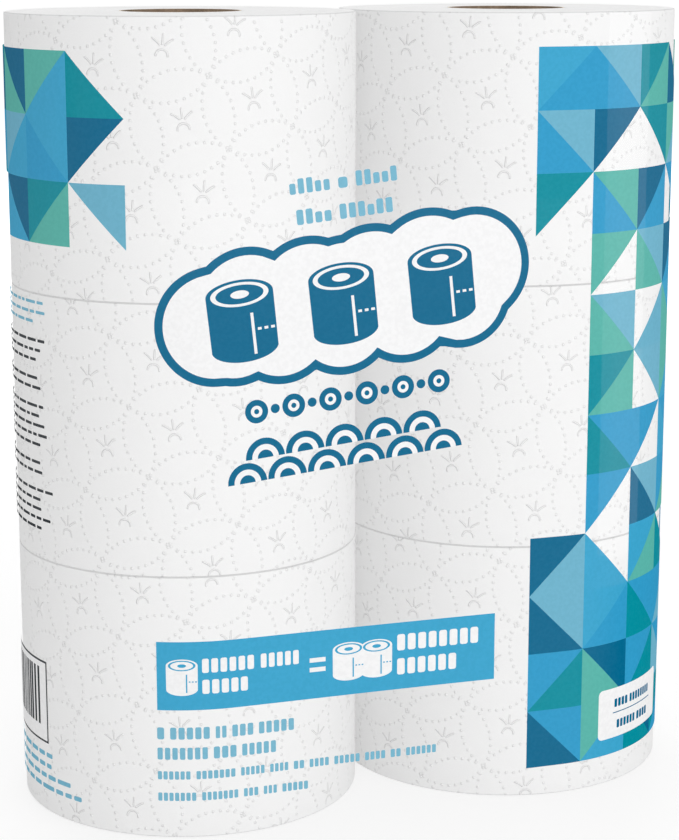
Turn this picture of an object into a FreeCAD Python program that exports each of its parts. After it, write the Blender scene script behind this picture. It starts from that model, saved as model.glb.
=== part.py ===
import FreeCAD, Part
import Sketcher
import math
import os

# A pack of six toilet tissue rolls: two columns of three rolls on end in one clear film sleeve.
# Millimetres, +Z up, the front faces -Y, and the origin is the middle of the pack's underside.

# Driving dimensions: the cell's alias, its value and what it sizes
drivingDimensions = [
    ("roll_height", 99.6, "width of the paper, which is the height of a roll on end"),
    ("roll_diameter", 129.8, "outer diameter of a roll"),
    ("roll_edge_radius", 0.7, "rounding where the end faces meet the side"),
    ("roll_gap", 0.3, "space between the two columns where they come closest"),
    ("tail_height", 0.35, "height of the paper's loose end above the turn it lies on"),
    ("tail_angle", 24.0, "angle round the roll over which the loose end stands proud"),
    ("turn_width", 0.9, "width of a ring that a turn of paper leaves on an end face"),
    ("turn_depth", 0.35, "depth of such a ring"),
    ("core_bore", 44.0, "inner diameter of a cardboard core"),
    ("core_wall", 0.6, "thickness of the cardboard"),
    ("core_fit", 0.1, "clearance between a core and the first turn of paper"),
    ("film_wall", 0.4, "thickness of the film"),
    ("film_side_slack", 0.45, "space between the film and the sides of the rolls"),
    ("film_top_slack", 0.3, "height of the film's shoulder above the top rolls"),
    ("film_lip_rest", 0.2, "height of the top lip's edge above the top rolls"),
    ("film_shoulder", 3.0, "width of the film's level shoulder, outside the part that slopes down"),
    ("film_lip_reach", 10.0, "distance that each end of the film is drawn in over the rolls"),
    ("seam_width", 14.0, "width of the film's lap seam, on the inside of its back"),
    ("seam_margin", 3.0, "length left free between the lap seam and each end of the sleeve"),
]
turnCount = 3          # rings on each end of a roll
tailOverrun = 1.2      # the arc of the loose end runs on inside the roll to this share of its angle
levelNames = ["bottom", "middle", "top"]
columnSides = {"left": -1, "right": 1}

# Direction of each roll's loose end, in degrees round its column: all of them lie to the back
tailDirections = {
    "left": [98.0, 64.0, 112.0],
    "right": [84.0, 106.0, 60.0],
}

# Expressions that several pieces share
columnOffset = "(Sizes.roll_diameter + Sizes.roll_gap) / 2"
rollRadius = "Sizes.roll_diameter / 2"
boreRadius = "(Sizes.core_bore / 2 + Sizes.core_wall + Sizes.core_fit)"
stackTop = f"(Sizes.film_wall + {len(levelNames)} * Sizes.roll_height)"
filmInside = f"({rollRadius} + Sizes.film_side_slack)"
filmTop = f"({stackTop} + Sizes.film_top_slack)"


def makeSizes(doc):
    sheet = doc.addObject("Spreadsheet::Sheet", "Sizes")
    for row, (alias, value, meaning) in enumerate(drivingDimensions, 1):
        sheet.set(f"A{row}", meaning)
        sheet.set(f"B{row}", str(value))
        sheet.setAlias(f"B{row}", alias)
    doc.recompute()
    return sheet


def newBody(doc, label):
    body = doc.addObject("PartDesign::Body", label)
    body.Label = label
    return body


def newSketch(body, name, plane):
    sketch = body.newObject("Sketcher::SketchObject", name)
    supports = [feature for feature in body.Origin.OriginFeatures if feature.Role == plane]
    sketch.AttachmentSupport = [(supports[0], "")]
    sketch.MapMode = "FlatFace"
    return sketch


# Adds a dimensional constraint at the size that is drawn, and ties it to the sheet
def bind(sketch, expression, kind, *place):
    if kind == "Radius":
        drawn = sketch.Geometry[place[0]].Radius
    else:
        span = sketch.getPoint(*place[2:]) - sketch.getPoint(*place[:2])
        drawn = span.x if kind == "DistanceX" else span.y
    index = sketch.addConstraint(Sketcher.Constraint(kind, *place, drawn))
    sketch.setExpression(f"Constraints[{index}]", expression)


# Adds a closed outline, each corner a pair of expressions: across and up from the origin
def addOutline(sketch, corners):
    first = sketch.GeometryCount
    count = len(corners)
    seeds = [FreeCAD.Vector(index + 1, (index + 1) ** 2, 0) for index in range(count)]
    for index in range(count):
        sketch.addGeometry(Part.LineSegment(seeds[index], seeds[(index + 1) % count]), False)
    for index in range(count):
        following = first + (index + 1) % count
        sketch.addConstraint(Sketcher.Constraint("Coincident", first + index, 2, following, 1))
    for index, (across, up) in enumerate(corners):
        bind(sketch, across, "DistanceX", -1, 1, first + index, 1)
        bind(sketch, up, "DistanceY", -1, 1, first + index, 1)


def padUp(body, name, sketch, start, length):
    sketch.setExpression(".AttachmentOffset.Base.z", start)
    pad = body.newObject("PartDesign::Pad", name)
    pad.Profile = sketch
    pad.setExpression("Length", length)
    return pad


# Names the edges whose ends and middle all pass a test
def edgesWhere(shape, test):
    names = []
    for number, edge in enumerate(shape.Edges, 1):
        middle = edge.valueAt((edge.FirstParameter + edge.LastParameter) / 2)
        points = [middle] + [vertex.Point for vertex in edge.Vertexes]
        if all(test(point) for point in points):
            names.append(f"Edge{number}")
    return names


def roundEdges(body, name, base, edges, radius):
    rounding = body.newObject("PartDesign::Fillet", name)
    rounding.Base = (base, edges)
    rounding.setExpression("Radius", radius)
    return rounding


# One wound roll: rounded edges, rings of turns on both ends and the paper's loose end on its side
def makeRoll(doc, sizes, label):
    body = newBody(doc, label)

    section = newSketch(body, f"{label}_section", "XZ_Plane")
    addOutline(section, [
        (boreRadius, "0"),
        (rollRadius, "0"),
        (rollRadius, "Sizes.roll_height"),
        (boreRadius, "Sizes.roll_height"),
    ])
    winding = body.newObject("PartDesign::Revolution", f"{label}_winding")
    winding.Profile = section
    winding.ReferenceAxis = (section, ["V_Axis"])
    winding.Angle = 360
    doc.recompute()

    radius = sizes.roll_diameter / 2
    rim = edgesWhere(winding.Shape, lambda point: abs(math.hypot(point.x, point.y) - radius) < 1e-4
                     and min(abs(point.z), abs(point.z - sizes.roll_height)) < 1e-4)
    roundEdges(body, f"{label}_rounding", winding, rim, "Sizes.roll_edge_radius")

    rings = newSketch(body, f"{label}_rings", "XZ_Plane")
    faces = [("0", "Sizes.turn_depth"), ("Sizes.roll_height", "-Sizes.turn_depth")]
    for turn in range(1, turnCount + 1):
        share = f"{turn} / {turnCount + 1}"
        middle = f"{boreRadius} + ({rollRadius} - {boreRadius}) * {share}"
        for face, depth in faces:
            addOutline(rings, [
                (f"{middle} - Sizes.turn_width / 2", face),
                (f"{middle} + Sizes.turn_width / 2", face),
                (middle, f"{face} + {depth}"),
            ])
    ends = body.newObject("PartDesign::Groove", f"{label}_ends")
    ends.Profile = rings
    ends.ReferenceAxis = (rings, ["V_Axis"])
    ends.Angle = 360

    # The loose end: an arc that starts proud of the roll and runs down into it
    tail = newSketch(body, f"{label}_tail", "XY_Plane")
    arcEnd = math.radians(tailOverrun * sizes.tail_angle)
    circle = Part.Circle(FreeCAD.Vector(0, 0, 0), FreeCAD.Vector(0, 0, 1), radius)
    start = FreeCAD.Vector(radius, 0, 0)
    end = FreeCAD.Vector(radius * math.cos(arcEnd), radius * math.sin(arcEnd), 0)
    foot = FreeCAD.Vector(radius - 2 * sizes.tail_height, 0, 0)
    outer = tail.addGeometry(Part.ArcOfCircle(circle, 0, arcEnd), False)
    chord = tail.addGeometry(Part.LineSegment(end, foot), False)
    step = tail.addGeometry(Part.LineSegment(foot, start), False)
    tail.addConstraint([
        Sketcher.Constraint("Coincident", outer, 2, chord, 1),
        Sketcher.Constraint("Coincident", chord, 2, step, 1),
        Sketcher.Constraint("Coincident", step, 2, outer, 1),
        Sketcher.Constraint("PointOnObject", outer, 1, -1),
        Sketcher.Constraint("PointOnObject", chord, 2, -1),
    ])
    bind(tail, rollRadius, "Radius", outer)
    bind(tail, "Sizes.tail_height", "DistanceX", -1, 1, outer, 3)
    bind(tail, "-Sizes.tail_height / tan(Sizes.tail_angle)", "DistanceY", -1, 1, outer, 3)
    bind(tail, f"{rollRadius} - 2 * Sizes.tail_height", "DistanceX", -1, 1, chord, 2)
    bind(tail, f"{rollRadius} * sin({tailOverrun} * Sizes.tail_angle)", "DistanceY", -1, 1, chord, 1)
    padUp(body, f"{label}_loose_end", tail, "Sizes.roll_edge_radius",
          "Sizes.roll_height - 2 * Sizes.roll_edge_radius")
    return body


# One cardboard core: a tube as long as the paper is wide
def makeCore(doc, label):
    body = newBody(doc, label)
    rings = newSketch(body, f"{label}_section", "XY_Plane")
    for radius in ("Sizes.core_bore / 2", "Sizes.core_bore / 2 + Sizes.core_wall"):
        circle = Part.Circle(FreeCAD.Vector(0, 0, 0), FreeCAD.Vector(0, 0, 1), 1.0)
        ring = rings.addGeometry(circle, False)
        rings.addConstraint(Sketcher.Constraint("Coincident", ring, 3, -1, 1))
        bind(rings, radius, "Radius", ring)
    padUp(body, f"{label}_tube", rings, "0", "Sizes.roll_height")
    return body


# Stands a roll or a core in its column, turned about its own axis
def placeInStack(body, side, level, turn):
    body.Placement.Rotation = FreeCAD.Rotation(FreeCAD.Vector(0, 0, 1), turn)
    body.setExpression(".Placement.Base.x", f"{side} * {columnOffset}")
    body.setExpression(".Placement.Base.z", f"Sizes.film_wall + {level} * Sizes.roll_height")


# The film: one section swept round both columns, with its corners rounded and a lap seam behind
def makeFilm(doc, sizes, label):
    body = newBody(doc, label)
    offset = (sizes.roll_diameter + sizes.roll_gap) / 2
    inside = sizes.roll_diameter / 2 + sizes.film_side_slack

    path = newSketch(body, f"{label}_path", "XY_Plane")
    upward = FreeCAD.Vector(0, 0, 1)
    rightCircle = Part.Circle(FreeCAD.Vector(offset, 0, 0), upward, inside)
    leftCircle = Part.Circle(FreeCAD.Vector(-offset, 0, 0), upward, inside)
    rightBack = FreeCAD.Vector(offset, inside, 0)
    leftBack = FreeCAD.Vector(-offset, inside, 0)
    leftFront = FreeCAD.Vector(-offset, -inside, 0)
    rightFront = FreeCAD.Vector(offset, -inside, 0)
    path.addGeometry([
        Part.ArcOfCircle(rightCircle, 0, math.pi / 2),
        Part.LineSegment(rightBack, leftBack),
        Part.ArcOfCircle(leftCircle, math.pi / 2, 3 * math.pi / 2),
        Part.LineSegment(leftFront, rightFront),
        Part.ArcOfCircle(rightCircle, 3 * math.pi / 2, 2 * math.pi),
    ], False)
    path.addConstraint([
        Sketcher.Constraint("Tangent", 0, 2, 1, 1),
        Sketcher.Constraint("Tangent", 1, 2, 2, 1),
        Sketcher.Constraint("Tangent", 2, 2, 3, 1),
        Sketcher.Constraint("Tangent", 3, 2, 4, 1),
        Sketcher.Constraint("Coincident", 4, 2, 0, 1),
        Sketcher.Constraint("Coincident", 0, 3, 4, 3),
        Sketcher.Constraint("PointOnObject", 0, 3, -1),
        Sketcher.Constraint("PointOnObject", 0, 1, -1),
        Sketcher.Constraint("PointOnObject", 2, 3, -1),
    ])
    bind(path, filmInside, "Radius", 0)
    bind(path, columnOffset, "DistanceX", -1, 1, 0, 3)
    bind(path, columnOffset, "DistanceX", 2, 3, -1, 1)

    section = newSketch(body, f"{label}_section", "XZ_Plane")
    inner = f"{columnOffset} + {filmInside}"
    outer = f"{inner} + Sizes.film_wall"
    shoulder = f"{outer} - Sizes.film_shoulder"
    lip = f"{outer} - Sizes.film_lip_reach"
    addOutline(section, [
        (lip, "0"),
        (outer, "0"),
        (outer, f"{filmTop} + Sizes.film_wall"),
        (shoulder, f"{filmTop} + Sizes.film_wall"),
        (lip, f"{stackTop} + Sizes.film_lip_rest + Sizes.film_wall"),
        (lip, f"{stackTop} + Sizes.film_lip_rest"),
        (shoulder, filmTop),
        (inner, filmTop),
        (inner, "Sizes.film_wall"),
        (lip, "Sizes.film_wall"),
    ])
    sleeve = body.newObject("PartDesign::AdditivePipe", f"{label}_sleeve")
    sleeve.Profile = section
    sleeve.Spine = path
    doc.recompute()

    # Both corners of the section round off, the outer ones by the wall more than the inner ones
    top = sizes.film_wall + len(levelNames) * sizes.roll_height + sizes.film_top_slack
    roundings = [
        ("outer", inside + sizes.film_wall, [0, top + sizes.film_wall],
         "Sizes.film_side_slack + Sizes.film_wall"),
        ("inner", inside, [sizes.film_wall, top], "Sizes.film_side_slack"),
    ]
    base = sleeve
    for name, reach, heights, radius in roundings:
        def onCorner(point):
            across = max(abs(point.x) - offset, 0)
            atReach = abs(math.hypot(across, point.y) - reach) < 1e-3
            return atReach and min(abs(point.z - height) for height in heights) < 1e-3
        corners = edgesWhere(base.Shape, onCorner)
        base = roundEdges(body, f"{label}_{name}_corners", base, corners, radius)
        doc.recompute()

    lap = newSketch(body, f"{label}_lap", "XY_Plane")
    addOutline(lap, [
        ("-Sizes.seam_width / 2", f"{filmInside} - Sizes.film_wall"),
        ("Sizes.seam_width / 2", f"{filmInside} - Sizes.film_wall"),
        ("Sizes.seam_width / 2", filmInside),
        ("-Sizes.seam_width / 2", filmInside),
    ])
    foot = "Sizes.film_wall + Sizes.film_side_slack + Sizes.seam_margin"
    head = f"{filmTop} - Sizes.film_side_slack - Sizes.seam_margin"
    padUp(body, f"{label}_lap_seam", lap, foot, f"{head} - ({foot})")
    return body


def makePack(doc):
    sizes = makeSizes(doc)
    pieces = []
    for column, side in columnSides.items():
        for level, levelName in enumerate(levelNames):
            roll = makeRoll(doc, sizes, f"roll_{column}_{levelName}")
            placeInStack(roll, side, level, tailDirections[column][level])
            core = makeCore(doc, f"core_{column}_{levelName}")
            placeInStack(core, side, level, 0)
            pieces += [roll, core]
    pieces.append(makeFilm(doc, sizes, "film_wrap"))
    doc.recompute()
    return pieces


def writePieces(doc, pieces):
    for item in doc.Objects:
        if "Invalid" in item.State or "Error" in item.State:
            raise RuntimeError(f"{item.Name} did not compute: {item.State}")
    os.makedirs("parts", exist_ok=True)
    for piece in pieces:
        shape = piece.Shape
        if not shape.isValid() or len(shape.Solids) != 1:
            raise RuntimeError(f"{piece.Label} is not one valid solid")
        shape.exportStep(f"parts/{piece.Label}.step")
        print(piece.Label, round(shape.Volume / 1000, 2), "cm3")


doc = FreeCAD.newDocument("toilet_paper_roll_pack")
writePieces(doc, makePack(doc))
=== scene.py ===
import bpy
import bmesh
import math
import random
from mathutils import Matrix, Vector, noise


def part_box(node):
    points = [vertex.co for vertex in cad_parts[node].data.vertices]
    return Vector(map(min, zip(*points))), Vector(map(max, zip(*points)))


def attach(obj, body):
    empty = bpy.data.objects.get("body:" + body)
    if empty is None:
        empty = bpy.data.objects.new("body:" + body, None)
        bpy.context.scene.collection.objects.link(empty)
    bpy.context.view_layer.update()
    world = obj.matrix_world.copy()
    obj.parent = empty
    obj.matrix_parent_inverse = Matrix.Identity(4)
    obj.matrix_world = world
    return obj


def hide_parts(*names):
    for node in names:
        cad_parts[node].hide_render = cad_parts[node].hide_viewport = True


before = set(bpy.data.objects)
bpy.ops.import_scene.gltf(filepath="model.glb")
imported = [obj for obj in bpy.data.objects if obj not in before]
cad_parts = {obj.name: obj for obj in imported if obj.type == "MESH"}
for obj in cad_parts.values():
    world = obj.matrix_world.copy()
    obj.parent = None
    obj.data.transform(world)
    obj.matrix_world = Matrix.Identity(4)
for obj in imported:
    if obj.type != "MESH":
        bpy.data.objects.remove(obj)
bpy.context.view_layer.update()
print("frame loaded:", len(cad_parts), "nodes")

mm = 0.001
coreLow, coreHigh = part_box("core_right_top")
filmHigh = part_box("film_wrap")[1]
filmInset = 0.3 * mm                      # the thin film's outer face lies this far inside its solid's
columnX = (coreLow.x + coreHigh.x) / 2    # each column stands this far from the middle
coreRadius = (coreHigh.x - coreLow.x) / 2
filmRadius = filmHigh.y - filmInset       # from the column's axis
filmTop = filmHigh.z - filmInset


# Shader helpers

def srgb(red, green, blue):
    def linear(value):
        value /= 255
        return value / 12.92 if value <= 0.04045 else ((value + 0.055) / 1.055) ** 2.4
    return (linear(red), linear(green), linear(blue), 1.0)


def plug(tree, value, socket):
    if isinstance(value, bpy.types.NodeSocket):
        tree.links.new(value, socket)
    else:
        socket.default_value = value


def calc(tree, operation, *values):
    node = tree.nodes.new("ShaderNodeMath")
    node.operation = operation
    for value, socket in zip(values, node.inputs):
        plug(tree, value, socket)
    return node.outputs[0]


def ramp(tree, value, fromLow, fromHigh, toLow, toHigh):
    node = tree.nodes.new("ShaderNodeMapRange")
    node.interpolation_type = "SMOOTHSTEP"
    for entry, socket in zip((value, fromLow, fromHigh, toLow, toHigh), node.inputs):
        plug(tree, entry, socket)
    return node.outputs[0]


def mixColor(tree, factor, first, second):
    node = tree.nodes.new("ShaderNodeMix")
    node.data_type = "RGBA"
    plug(tree, factor, node.inputs["Factor"])
    plug(tree, first, node.inputs[6])
    plug(tree, second, node.inputs[7])
    return node.outputs[2]


def noiseAt(tree, vector, scale, detail=3.0, roughness=0.5):
    node = tree.nodes.new("ShaderNodeTexNoise")
    node.inputs["Scale"].default_value = scale
    node.inputs["Detail"].default_value = detail
    node.inputs["Roughness"].default_value = roughness
    tree.links.new(vector, node.inputs["Vector"])
    return node.outputs["Fac"]


def bump(tree, height, distance, strength=1.0, normal=None):
    node = tree.nodes.new("ShaderNodeBump")
    node.inputs["Strength"].default_value = strength
    node.inputs["Distance"].default_value = distance
    tree.links.new(height, node.inputs["Height"])
    if normal is not None:
        tree.links.new(normal, node.inputs["Normal"])
    return node.outputs["Normal"]


def newMaterial(name, **settings):
    material = bpy.data.materials.new(name)
    material.use_nodes = True
    shader = material.node_tree.nodes["Principled BSDF"]
    for key, value in settings.items():
        shader.inputs[key.replace("_", " ")].default_value = value
    return material, material.node_tree, shader


def coordinates(tree, kind):
    node = tree.nodes.get("Texture Coordinate") or tree.nodes.new("ShaderNodeTexCoord")
    return node.outputs[kind]


def splitVector(tree, vector):
    node = tree.nodes.new("ShaderNodeSeparateXYZ")
    tree.links.new(vector, node.inputs[0])
    return node.outputs[0], node.outputs[1], node.outputs[2]


def joinVector(tree, x, y, z=0.0):
    node = tree.nodes.new("ShaderNodeCombineXYZ")
    for value, socket in zip((x, y, z), node.inputs):
        plug(tree, value, socket)
    return node.outputs[0]


def hypot(tree, first, second):
    squares = [calc(tree, "MULTIPLY", value, value) for value in (first, second)]
    return calc(tree, "SQRT", calc(tree, "ADD", *squares))


def newGroup(name, inputs, outputs):
    tree = bpy.data.node_groups.new(name, "ShaderNodeTree")
    for label, default in inputs:
        socket = tree.interface.new_socket(label, in_out="INPUT", socket_type="NodeSocketFloat")
        socket.default_value = default
    for label in outputs:
        tree.interface.new_socket(label, in_out="OUTPUT", socket_type="NodeSocketFloat")
    entry = tree.nodes.new("NodeGroupInput")
    leave = tree.nodes.new("NodeGroupOutput")
    return tree, entry.outputs, leave.inputs


def useGroup(tree, group, **values):
    node = tree.nodes.new("ShaderNodeGroup")
    node.node_tree = group
    for key, value in values.items():
        plug(tree, value, node.inputs[key.replace("_", " ")])
    return node


def finishMesh(bm, name, materials):
    mesh = bpy.data.meshes.new(name)
    bm.to_mesh(mesh)
    bm.free()
    for material in materials:
        mesh.materials.append(material)
    piece = bpy.data.objects.new(name, mesh)
    bpy.context.scene.collection.objects.link(piece)
    return piece


# Embossing of the tissue, in millimetres along the paper and up it: dotted rings that overlap, on a square
# grid, with a small sprig in the middle of each

embossing = {
    "pitch": 26.1,
    "tilt": math.radians(15),
    "dotPitch": 2.75,
    "dotRadius": 0.72,
    "flatShare": 0.2,       # share of a dot or stroke that is pressed to its full depth
    "strokeWidth": 0.46,
    "strokeInner": 1.7,
    "strokeOuter": 4.9,
    "strokeSpread": math.radians(46),
    "strokeFlare": 0.35,    # share of the spread that comes only towards the tips
    "archDrop": 2.3,
    "archRadius": 2.1,
    "sprigLean": math.radians(-20),
    "sprigTurn": math.radians(12),   # every other row of sprigs is turned by this
}


# Turned coordinates, by an angle that may itself change over the surface
def turned(tree, across, up, angle):
    cosine, sine = calc(tree, "COSINE", angle), calc(tree, "SINE", angle)
    first = calc(tree, "MULTIPLY_ADD", across, cosine, calc(tree, "MULTIPLY", up, sine))
    back = calc(tree, "MULTIPLY", across, -1.0)
    second = calc(tree, "MULTIPLY_ADD", up, cosine, calc(tree, "MULTIPLY", back, sine))
    return first, second


# Three strokes that flare like a tulip over a small arch
def makeSprigGroup(values):
    tree, source, target = newGroup("sprig", [("Across", 0.0), ("Up", 0.0)], ["Distance"])
    across, up = source["Across"], source["Up"]
    radius = hypot(tree, across, up)
    angle = calc(tree, "ARCTAN2", across, up)
    flare = values["strokeSpread"] * values["strokeFlare"]
    atRoot = values["strokeSpread"] - flare
    spread = calc(tree, "MULTIPLY_ADD", radius, flare / values["strokeOuter"], atRoot)
    fan = calc(tree, "MINIMUM", calc(tree, "MAXIMUM", calc(tree, "DIVIDE", angle, spread), -1.0), 1.0)
    aside = calc(tree, "SUBTRACT", angle, calc(tree, "MULTIPLY", calc(tree, "ROUND", fan), spread))
    middle = (values["strokeInner"] + values["strokeOuter"]) / 2
    reach = (values["strokeOuter"] - values["strokeInner"]) / 2
    past = calc(tree, "SUBTRACT", calc(tree, "ABSOLUTE", calc(tree, "SUBTRACT", radius, middle)), reach)
    strokes = hypot(tree, calc(tree, "MAXIMUM", past, 0.0), calc(tree, "MULTIPLY", radius, aside))
    lowered = calc(tree, "ADD", up, values["archDrop"])
    toArch = calc(tree, "SUBTRACT", hypot(tree, across, lowered), values["archRadius"])
    below = calc(tree, "MAXIMUM", calc(tree, "MULTIPLY", lowered, -1.0), 0.0)
    arch = hypot(tree, toArch, below)
    tree.links.new(calc(tree, "MINIMUM", strokes, arch), target["Distance"])
    return tree


def makeEmbossGroup(values):
    pitch = values["pitch"]
    ringRadius = pitch / math.sqrt(2)
    sprig = makeSprigGroup(values)
    tree, source, target = newGroup("tissueEmbossing", [("Across", 0.0), ("Up", 0.0)], ["Dots", "Sprigs"])
    first, second = turned(tree, source["Across"], source["Up"], values["tilt"])
    across = calc(tree, "WRAP", first, pitch / 2, -pitch / 2)
    up = calc(tree, "WRAP", second, pitch / 2, -pitch / 2)

    # Each square is crossed by the rings of its four neighbours, which mirror each other
    foldedAcross, foldedUp = calc(tree, "ABSOLUTE", across), calc(tree, "ABSOLUTE", up)
    nearest = None
    for near, far in ((foldedAcross, foldedUp), (foldedUp, foldedAcross)):
        toMiddle = calc(tree, "SUBTRACT", pitch, near)
        offRing = calc(tree, "SUBTRACT", hypot(tree, toMiddle, far), ringRadius)
        along = calc(tree, "MULTIPLY", calc(tree, "ARCTAN2", far, toMiddle), ringRadius)
        toDot = calc(tree, "WRAP", along, values["dotPitch"] / 2, -values["dotPitch"] / 2)
        distance = hypot(tree, offRing, toDot)
        nearest = distance if nearest is None else calc(tree, "MINIMUM", nearest, distance)
    edge = values["dotRadius"]
    dots = ramp(tree, nearest, edge * values["flatShare"], edge, 1.0, 0.0)
    tree.links.new(dots, target["Dots"])

    row = calc(tree, "ROUND", calc(tree, "DIVIDE", second, pitch))
    odd = calc(tree, "ABSOLUTE", calc(tree, "WRAP", row, 1.0, -1.0))
    lean = calc(tree, "MULTIPLY_ADD", odd, values["sprigTurn"], values["sprigLean"])
    place = turned(tree, across, up, lean)
    distance = useGroup(tree, sprig, Across=place[0], Up=place[1]).outputs["Distance"]
    edge = values["strokeWidth"]
    strokes = ramp(tree, distance, edge * values["flatShare"], edge, 1.0, 0.0)
    tree.links.new(strokes, target["Sprigs"])
    return tree


# Tissue

tissue = {
    "white": (0.935, 0.935, 0.935, 1.0),
    "crepeDull": 0.985,
    "endDull": 0.95,
    # The grey mixed into the paper at each roll's ends is painted shade: the dark seam between stacked rolls
    # and the thin dark line along their top and bottom edges
    "paintedEndShade": (0.73, 0.73, 0.73, 1.0),
    "endShadeReach": 0.48,       # millimetres from a roll's end to where the painted shade at its ends fades
    "embossDepth": 0.3 * mm,
    "crepeDepth": 0.06 * mm,
    "crepeScale": 1.6,
    "pillowScale": 0.09,
    "turnDepth": 0.18 * mm,
    "turnScale": 1.4,
    "fineTurns": 2.7,       # how much closer the finer turns lie
    "roughness": 0.95,
    "specular": 0.15,
}


def dulled(color, share):
    return tuple(channel * share for channel in color[:3]) + (1.0,)


def makeTissueSide(values, emboss, rollBottom, rollHeight):
    material, tree, shader = newMaterial("tissueSide", Roughness=values["roughness"])
    shader.inputs["Specular IOR Level"].default_value = values["specular"]
    across, up, _ = splitVector(tree, coordinates(tree, "UV"))
    pattern = useGroup(tree, emboss, Across=across, Up=up)
    pressed = calc(tree, "MAXIMUM", pattern.outputs["Dots"], pattern.outputs["Sprigs"])
    place = joinVector(tree, across, up)
    crepe = noiseAt(tree, place, values["crepeScale"], detail=4.0, roughness=0.6)
    pillow = noiseAt(tree, place, values["pillowScale"], detail=1.0)
    height = calc(tree, "MULTIPLY_ADD", pillow, 1.2, pressed)
    normal = bump(tree, crepe, values["crepeDepth"], 0.6)
    tree.links.new(bump(tree, height, values["embossDepth"], 1.0, normal), shader.inputs["Normal"])
    shade = ramp(tree, crepe, 0.3, 0.7, 0.0, 1.0)
    tone = mixColor(tree, shade, dulled(values["white"], values["crepeDull"]), values["white"])
    # Painted shade: the colour turns grey within half a millimetre of each roll's end, where stacked rolls
    # meet and along the outer edges
    above = calc(tree, "SUBTRACT", splitVector(tree, coordinates(tree, "Object"))[2], rollBottom)
    fromEnd = calc(tree, "PINGPONG", calc(tree, "DIVIDE", above, mm), rollHeight / 2 / mm)
    edge = ramp(tree, fromEnd, values["endShadeReach"] * 0.5, values["endShadeReach"], 1.0, 0.0)
    tree.links.new(mixColor(tree, edge, tone, values["paintedEndShade"]), shader.inputs["Base Color"])
    return material


def makeTissueEnd(values):
    material, tree, shader = newMaterial("tissueEnd", Roughness=values["roughness"])
    shader.inputs["Specular IOR Level"].default_value = values["specular"]
    x, y, _ = splitVector(tree, coordinates(tree, "UV"))
    radius = hypot(tree, x, y)
    angle = calc(tree, "ARCTAN2", y, x)
    place = joinVector(tree, radius, calc(tree, "SINE", angle))
    rings = noiseAt(tree, place, values["turnScale"], detail=3.0, roughness=0.7)
    closer = calc(tree, "MULTIPLY", radius, values["fineTurns"])
    fine = noiseAt(tree, joinVector(tree, closer, calc(tree, "COSINE", angle)), 1.0, detail=2.0)
    height = calc(tree, "ADD", rings, fine)
    tree.links.new(bump(tree, height, values["turnDepth"], 0.8), shader.inputs["Normal"])
    shade = ramp(tree, rings, 0.35, 0.65, 0.0, 1.0)
    tone = mixColor(tree, shade, dulled(values["white"], values["endDull"]), values["white"])
    tree.links.new(tone, shader.inputs["Base Color"])
    return material


# Rolls: each is a section spun round its column, then loosened a little

roll = {
    "coreFit": 0.1 * mm,
    "segments": 168,
    "edgeRadius": 0.7 * mm,
    "edgeSteps": 5,
    "sideSteps": 12,
    "endRings": 22,
    "ringLift": 0.16 * mm,
    "waver": 0.09 * mm,
    "waverRound": 1.3,      # slow waves round the roll, and up it
    "waverUp": 14.0,
    "tailHeight": 0.25 * mm,
    "tailAngle": math.radians(24),
    "tailCut": 0.002,       # half the angle between the two cuts at the loose end, in radians
    "patternShift": (24.0, 50.0),
}
tailDirections = {
    "left": [98.0, 64.0, 112.0],
    "right": [84.0, 106.0, 60.0],
}
levelNames = ["bottom", "middle", "top"]


def rollSection(values, boreRadius, outerRadius, bottom, top, chance):
    ringStep = (outerRadius - values["edgeRadius"] - boreRadius) / values["endRings"]
    lower = [(boreRadius, bottom)]
    upper = [(boreRadius, top)]
    for ring in range(1, values["endRings"]):
        radius = boreRadius + ring * ringStep
        lower.append((radius, bottom + chance.random() * values["ringLift"]))
        upper.append((radius, top - chance.random() * values["ringLift"]))
    for step in range(values["edgeSteps"] + 1):
        turn = math.pi / 2 * step / values["edgeSteps"]
        radius = outerRadius - values["edgeRadius"] * (1 - math.sin(turn))
        rise = values["edgeRadius"] * (1 - math.cos(turn))
        lower.append((radius, bottom + rise))
        upper.append((radius, top - rise))
    sideStep = (top - bottom) / values["sideSteps"]
    side = [(outerRadius, bottom + sideStep * step) for step in range(1, values["sideSteps"])]
    return lower + side + upper[::-1]


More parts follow.
